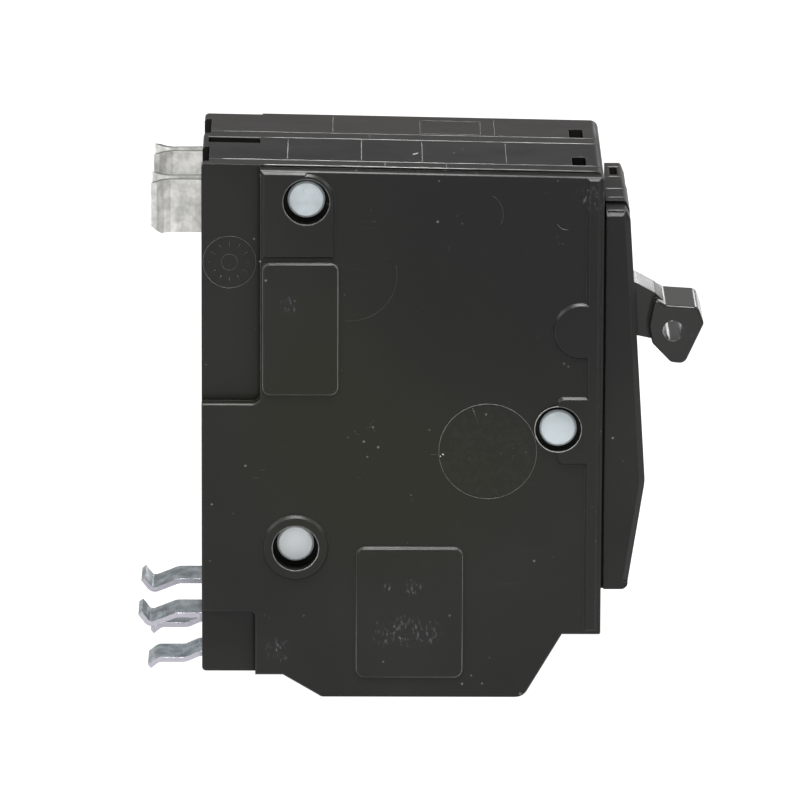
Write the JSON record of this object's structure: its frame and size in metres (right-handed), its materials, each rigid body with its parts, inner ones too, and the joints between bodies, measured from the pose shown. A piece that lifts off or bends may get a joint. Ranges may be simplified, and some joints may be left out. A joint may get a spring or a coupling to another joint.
{
  "type": "circuit breaker",
  "caption": "Plug-on miniature circuit breaker with ganged poles, a rocker handle, sprung line jaws, rail clips and box-lug load terminals.",
  "frame": {"origin": "centre of the whole object in plan, at the flat load end that it stands on", "axes": "+X from the panel side to the handle, +Y across the poles away from the pole with the handle, +Z from the load end to the line end"},
  "size_m": [0.0834, 0.0382, 0.0805],
  "materials": {
    "case_plastic": "black thermoset, satin moulded",
    "handle_plastic": "black, polished moulding",
    "trip_plastic": "red-brown moulding",
    "rivet_zinc": "pale zinc plate, matte",
    "jaw_tin": "tin plate over copper, drawn streaks",
    "clip_zinc": "bright zinc plate with a blue tint",
    "copper": "bare copper",
    "silver": "silver contact alloy",
    "lug_aluminium": "tin-plated aluminium",
    "steel": "plain steel",
    "bimetal": "rolled bimetal strip",
    "fibre": "vulcanised fibre board"
  },
  "bodies": {
    "case": {"cover_a": "case_plastic", "base_a": "case_plastic", "line_jaw_a": "jaw_tin", "fixed_contact_a": "silver", "arm_pin_a": "steel", "cradle_pin_a": "steel", "armature_pin_a": "steel", "toggle_spring_a": "steel", "armature_spring_a": "steel", "arc_plates_a": "steel", "arc_liner_a": "fibre", "bimetal_a": "bimetal", "magnet_yoke_a": "steel", "calibration_screw_a": "steel", "braid_a": "copper", "load_strap_a": "copper", "terminal_lug_a": "lug_aluminium", "rail_clip_a": "clip_zinc", "cover_b": "case_plastic", "base_b": "case_plastic", "line_jaw_b": "jaw_tin", "fixed_contact_b": "silver", "arm_pin_b": "steel", "cradle_pin_b": "steel", "armature_pin_b": "steel", "toggle_spring_b": "steel", "armature_spring_b": "steel", "arc_plates_b": "steel", "arc_liner_b": "fibre", "bimetal_b": "bimetal", "magnet_yoke_b": "steel", "calibration_screw_b": "steel", "braid_b": "copper", "load_strap_b": "copper", "terminal_lug_b": "lug_aluminium", "rail_clip_b": "clip_zinc", "case_rivets": "rivet_zinc"},
    "operator": {"handle": "handle_plastic", "slave_operator": "handle_plastic", "operator_shaft": "steel"},
    "trip_bar": {"trip_bar": "trip_plastic"},
    "contact_arm_a": {"contact_arm_a": "copper", "moving_contact_a": "silver"},
    "trip_lever_a": {"trip_lever_a": "steel"},
    "armature_a": {"armature_a": "steel"},
    "terminal_screw_a": {"terminal_screw_a": "steel", "wire_clamp_a": "steel"},
    "contact_arm_b": {"contact_arm_b": "copper", "moving_contact_b": "silver"},
    "trip_lever_b": {"trip_lever_b": "steel"},
    "armature_b": {"armature_b": "steel"},
    "terminal_screw_b": {"terminal_screw_b": "steel", "wire_clamp_b": "steel"}
  },
  "joints": [
    {"name": "handle_throw", "type": "hinge", "parent": "case", "child": "operator", "pos_m": [0.02385, 0, 0.0555], "axis": [0, -1, 0], "range_deg": [0, 30]},
    {"name": "trip_bar_turn", "type": "hinge", "parent": "case", "child": "trip_bar", "pos_m": [-0.00115, 0, 0.025], "axis": [0, 1, 0], "range_deg": [0, 7.2], "stiffness_Nm_per_rad": 0.02, "springref_deg": -5.73},
    {"name": "contact_arm_a_swing", "type": "hinge", "parent": "case", "child": "contact_arm_a", "pos_m": [0.00585, -0.00953, 0.0555], "axis": [0, 1, 0], "range_deg": [0, 15.2], "deforming": ["toggle_spring_a", "braid_a"]},
    {"name": "trip_lever_a_drop", "type": "hinge", "parent": "case", "child": "trip_lever_a", "pos_m": [-0.01615, -0.00953, 0.0425], "axis": [0, 1, 0], "range_deg": [0, 8.2]},
    {"name": "armature_a_tilt", "type": "hinge", "parent": "case", "child": "armature_a", "pos_m": [0.00445, -0.00953, 0.0205], "axis": [0, 1, 0], "range_deg": [0, 5.1], "deforming": ["armature_spring_a"]},
    {"name": "terminal_screw_a_travel", "type": "slide", "parent": "case", "child": "terminal_screw_a", "axis": [-1, 0, 0], "range_m": [0, 0.0045]},
    {"name": "contact_arm_b_swing", "type": "hinge", "parent": "case", "child": "contact_arm_b", "pos_m": [0.00585, 0.00953, 0.0555], "axis": [0, 1, 0], "range_deg": [0, 15.2], "deforming": ["toggle_spring_b", "braid_b"]},
    {"name": "trip_lever_b_drop", "type": "hinge", "parent": "case", "child": "trip_lever_b", "pos_m": [-0.01615, 0.00953, 0.0425], "axis": [0, 1, 0], "range_deg": [0, 8.2]},
    {"name": "armature_b_tilt", "type": "hinge", "parent": "case", "child": "armature_b", "pos_m": [0.00445, 0.00953, 0.0205], "axis": [0, 1, 0], "range_deg": [0, 5.1], "deforming": ["armature_spring_b"]},
    {"name": "terminal_screw_b_travel", "type": "slide", "parent": "case", "child": "terminal_screw_b", "axis": [-1, 0, 0], "range_m": [0, 0.0045]}
  ],
  "couplings": [
    {"joint": "contact_arm_a_swing", "follows": "handle_throw", "ratio": 0.5},
    {"joint": "trip_lever_a_drop", "follows": "trip_bar_turn", "ratio": 1.11},
    {"joint": "armature_a_tilt", "follows": "trip_bar_turn", "ratio": 0.69},
    {"joint": "contact_arm_b_swing", "follows": "handle_throw", "ratio": 0.5},
    {"joint": "trip_lever_b_drop", "follows": "trip_bar_turn", "ratio": 1.11},
    {"joint": "armature_b_tilt", "follows": "trip_bar_turn", "ratio": 0.69}
  ]
}
